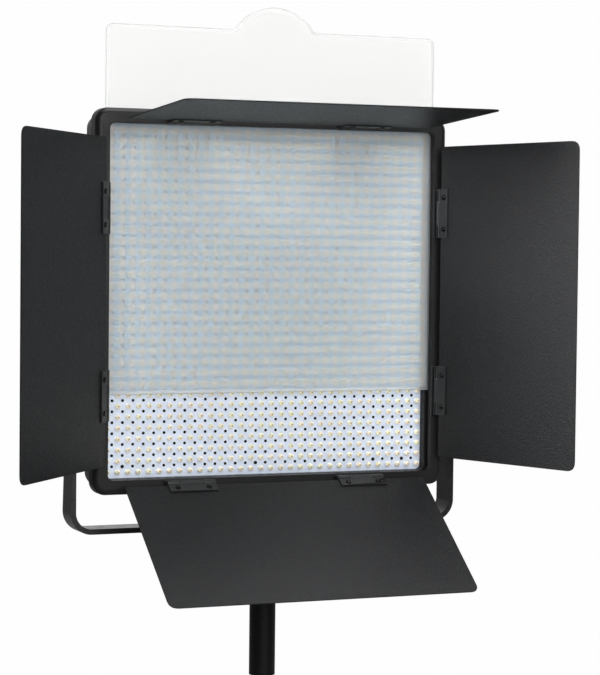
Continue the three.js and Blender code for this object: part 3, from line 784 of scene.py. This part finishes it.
def add_hand_wheel(node, body, direction, depth, lobes, dent):
    """A lobed hand wheel on a threaded stud, in the room of its CAD node."""
    low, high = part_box(node)
    centre = Vector((0, (low.y + high.y) / 2, (low.z + high.z) / 2))
    tip, end = sorted((low.x * direction, high.x * direction))
    radius = (high.z - low.z) / 2
    face = end - depth
    profile = [(STUD_R, tip)]
    for turn in range(int((face - tip) / THREAD_PITCH)):
        profile.append((STUD_R, tip + (turn + 0.2) * THREAD_PITCH))
        profile.append((STUD_R - THREAD_DEPTH, tip + (turn + 0.7) * THREAD_PITCH))
    profile += [
        (STUD_R, face), (radius * 0.55, face), (radius * 0.6, face + 3 * MM),
        (radius * 0.93, face + 3.3 * MM, dent), (radius, face + WHEEL_FOOT + 0.8 * MM, dent),
        (radius, end - 3 * MM, dent), (radius * 0.95, end - 1.2 * MM, dent),
        (radius * 0.84, end - 0.2 * MM, dent), (radius * 0.62, end, dent / 2),
        (radius * 0.5, end - 0.2 * MM), (radius * 0.46, end - 1 * MM), (0, end - 1 * MM),
    ]
    shape = bmesh.new()
    turn_profile(shape, centre, profile, lobes * STEPS_A_LOBE, Vector((direction, 0, 0)), lobes)
    replace_node(node + "_grip", shape, node, body)


def add_dial():
    """The brightness dial: a ribbed skirt, a smooth cap and a pointer."""
    low, high = dial_low, dial_high
    centre = Vector(((low.x + high.x) / 2, 0, (low.z + high.z) / 2))
    radius = (high.x - low.x) / 2
    foot = high.y - DIAL_DEPTH
    profile = [
        (STUD_R, low.y), (STUD_R, foot), (radius * 0.97, foot), (radius, foot + 0.6 * MM, 0.05),
        (radius * 0.95, high.y - 1.8 * MM, 0.05), (radius * 0.91, high.y - 0.9 * MM, 0.03),
        (radius * 0.84, high.y - 0.3 * MM), (radius * 0.78, high.y), (radius * 0.72, high.y - 0.35 * MM),
        (0, high.y - 0.35 * MM),
    ]
    shape = bmesh.new()
    turn_profile(shape, centre, profile, DIAL_RIBS * 4, Vector((0, 1, 0)), DIAL_RIBS)
    replace_node("brightness_dial_ribbed", shape, "brightness_dial", "dial")
    pointer = bmesh.new()
    bar = [(-0.5, 3.5), (0.5, 3.5), (0.5, 8), (0, 8.7), (-0.5, 8)]
    outline = [(centre.x + x * MM, centre.z + z * MM) for x, z in bar]
    add_plate(pointer, outline, high.y - 0.4 * MM, high.y - 0.15 * MM)
    new_piece("dial_pointer", pointer, PRINT, "dial", smooth=False)


# ---- Print on the rear panel, display, vents and screws -------------------------------------

PRINT_T = 0.08 * MM  # how far printed marks stand out
SUNK = 0.02 * MM  # how deep they reach into the face under them
TICKS = 11
FIRST_TICK, TICK_STEP = -60, 30  # degrees
TICK_HALF = 0.3 * MM
TICK_START, TICK_END, LONG_TICK_END = 14.2 * MM, 16.2 * MM, 17.4 * MM
SIGN_GAP = 2.2 * MM  # from a button's top to the middle of its sign
SIGN_STROKE = 0.45 * MM


def add_plate(shape, outline, front, back):
    """Adds a flat shape: its outline in x and z, between two places on y."""
    sides = [[shape.verts.new((x, y, z)) for x, z in outline] for y in (front, back)]
    for side in sides:
        shape.faces.new(side)
    for i in range(len(outline)):
        j = (i + 1) % len(outline)
        shape.faces.new((sides[0][i], sides[0][j], sides[1][j], sides[1][i]))


def oblong(x, z, width, height):
    """The outline of a rectangle around a point."""
    return [
        (x - width / 2, z - height / 2), (x + width / 2, z - height / 2),
        (x + width / 2, z + height / 2), (x - width / 2, z + height / 2),
    ]


def arc_band(x, z, radius, width, start, end, steps=20):
    """The outline of a piece of a ring, in degrees from +x towards +z."""
    angles = [math.radians(start + (end - start) * i / steps) for i in range(steps + 1)]
    outer = [(x + (radius + width / 2) * math.cos(a), z + (radius + width / 2) * math.sin(a)) for a in angles]
    inner = [(x + (radius - width / 2) * math.cos(a), z + (radius - width / 2) * math.sin(a)) for a in angles]
    return outer + inner[::-1]


def add_panel_print():
    """Tick marks round the dial, and a sign over each button: power, mode, down and up."""
    shape = bmesh.new()
    marks = []
    x, z = (dial_low.x + dial_high.x) / 2, (dial_low.z + dial_high.z) / 2
    for i in range(TICKS):
        angle = math.radians(FIRST_TICK + TICK_STEP * i)
        along = Vector((math.cos(angle), math.sin(angle)))
        side = Vector((-along.y, along.x)) * TICK_HALF
        inner, outer = along * TICK_START, along * (LONG_TICK_END if i % 5 == 0 else TICK_END)
        marks.append([(x + p.x, z + p.y) for p in (inner - side, outer - side, outer + side, inner + side)])
    signs = {}
    for node in ("power_button", "mode_button", "down_button", "up_button"):
        low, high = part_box(node)
        signs[node] = ((low.x + high.x) / 2, high.z + SIGN_GAP)
    x, z = signs["power_button"]
    marks.append(arc_band(x, z, 1.4 * MM, SIGN_STROKE, 125, 415))
    marks.append(oblong(x, z + 1.1 * MM, SIGN_STROKE, 1.8 * MM))
    x, z = signs["mode_button"]
    marks += [oblong(x, z + step * MM, 3.2 * MM, SIGN_STROKE) for step in (-1.1, 0, 1.1)]
    for node, way in (("down_button", -1), ("up_button", 1)):
        x, z = signs[node]
        foot = z - way * 1 * MM
        marks.append([(x - 1.5 * MM, foot), (x + 1.5 * MM, foot), (x, z + way * 1.3 * MM)])
    for mark in marks:
        add_plate(shape, mark, PANEL_FACE - SUNK, PANEL_FACE + PRINT_T)
    new_piece("panel_print", shape, PRINT, "head", smooth=False)


SEGMENTS = {"0": "abcdef", "1": "bc"}  # the lit bars of each digit that is shown


def add_digits(text="100"):
    """Seven-segment numbers on the display. They read from behind, so u runs along -x."""
    tall, wide, stroke, gap = 12 * MM, 6.5 * MM, 1.3 * MM, 4 * MM
    middle = (window_low + window_high) / 2
    half = tall / 4
    # Where each bar's middle lies, and whether it stands upright.
    bars = {
        "a": (0, tall / 2, False),
        "b": (wide / 2, half, True),
        "c": (wide / 2, -half, True),
        "d": (0, -tall / 2, False),
        "e": (-wide / 2, -half, True),
        "f": (-wide / 2, half, True),
    }
    shape = bmesh.new()
    for index, digit in enumerate(text):
        start = (index - (len(text) - 1) / 2) * (wide + gap)
        for name in SEGMENTS[digit]:
            u, v, standing = bars[name]
            length = (tall / 2 if standing else wide) - 0.5 * stroke
            end = length / 2
            flank = min(stroke / 2, end)
            points = [
                (-end, 0), (flank - end, flank), (end - flank, flank),
                (end, 0), (end - flank, -flank), (flank - end, -flank),
            ]
            if standing:
                points = [(b, a) for a, b in points]
            outline = [(middle.x - start - u - a, middle.z + v + b) for a, b in points]
            add_plate(shape, outline, window_high.y - SUNK, window_high.y + PRINT_T)
    new_piece("display_digits", shape, DIGITS, "head", smooth=False)


ROCKER_TILT = math.radians(8)
ROCKER_HALF, ROCKER_ENDS, ROCKER_DIP = 9 * MM, 5 * MM, 1 * MM


def add_rocker_marks():
    """A bar and a ring on the two halves of the rocker, laid on its hollow face."""
    joints = frame["record"]["behaviour"]["joints"]
    pivot = Vector(next(joint["pos_m"] for joint in joints if joint["name"] == "power_switch_rock"))
    turn = Matrix.Rotation(ROCKER_TILT, 4, "Z")
    shape = bmesh.new()
    marks = [oblong(-5 * MM, 0, 0.6 * MM, 4 * MM)]
    marks += [arc_band(5 * MM, 0, 1.7 * MM, 0.6 * MM, start, start + 180) for start in (0, 180)]
    for outline in marks:
        add_plate(shape, outline, 0, PRINT_T)
    for vert in shape.verts:
        face = ROCKER_ENDS - ROCKER_DIP * (1 - (vert.co.x / ROCKER_HALF) ** 2)
        vert.co.y += face
        vert.co = pivot + turn @ vert.co
    new_piece("rocker_marks", shape, PRINT, "power_rocker", smooth=False)


def add_filters():
    """A pleated dust filter inside the housing, behind each field of vent slots."""
    pleats, pleat = 40, 2.4 * MM
    half_width, deep, cloth = 48 * MM, 1.2 * MM, 0.3 * MM
    foot = HEAD_Z + 46 * MM
    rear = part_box("rear_housing")[1].y - 4 * MM
    for name, x in (("left", -80 * MM), ("right", 80 * MM)):
        shape = bmesh.new()
        rows = []  # one row a fold, each with its outer and inner pair of corners
        for i in range(2 * pleats + 1):
            z = foot + i * pleat / 2
            y = rear - (deep if i % 2 else 0)
            rows.append([
                [shape.verts.new((HEAD_X + x + side * half_width, y - inside * cloth, z)) for side in (-1, 1)]
                for inside in (0, 1)
            ])
        for lower, upper in zip(rows, rows[1:]):
            for inside in (0, 1):
                shape.faces.new((lower[inside][0], lower[inside][1], upper[inside][1], upper[inside][0]))
            for side in (0, 1):
                shape.faces.new((lower[0][side], lower[1][side], upper[1][side], upper[0][side]))
        for end in (rows[0], rows[-1]):
            shape.faces.new((end[0][0], end[0][1], end[1][1], end[1][0]))
        new_piece("vent_filter_" + name, shape, FILTER, "head", smooth=False)


def add_screw_crosses():
    """The cross recess of each housing screw."""
    arm, half = 1.5 * MM, 0.35 * MM
    cross = [
        (half, half), (half, arm), (-half, arm), (-half, half), (-arm, half), (-arm, -half),
        (-half, -half), (-half, -arm), (half, -arm), (half, -half), (arm, -half), (arm, half),
    ]
    shape = bmesh.new()
    for node in frame["nodes"]:
        if node.startswith("housing_screw"):
            low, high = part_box(node)
            x, z = (low.x + high.x) / 2, (low.z + high.z) / 2
            add_plate(shape, [(x + a, z + b) for a, b in cross], high.y - 0.3 * MM, high.y + 0.03 * MM)
    new_piece("screw_crosses", shape, INK, "head", smooth=False)


add_hand_wheel("tilt_knob_right", "tilt_lock_right", 1, 17 * MM, 7, 0.16)
add_hand_wheel("tilt_knob_left", "tilt_lock_left", -1, 17 * MM, 7, 0.16)
add_hand_wheel("stand_clamp_knob", "stand_clamp", 1, 20 * MM, 5, 0.2)
add_dial()
add_panel_print()
add_digits()
add_rocker_marks()
add_filters()
add_screw_crosses()

bpy.context.scene.view_settings.view_transform = "Standard"
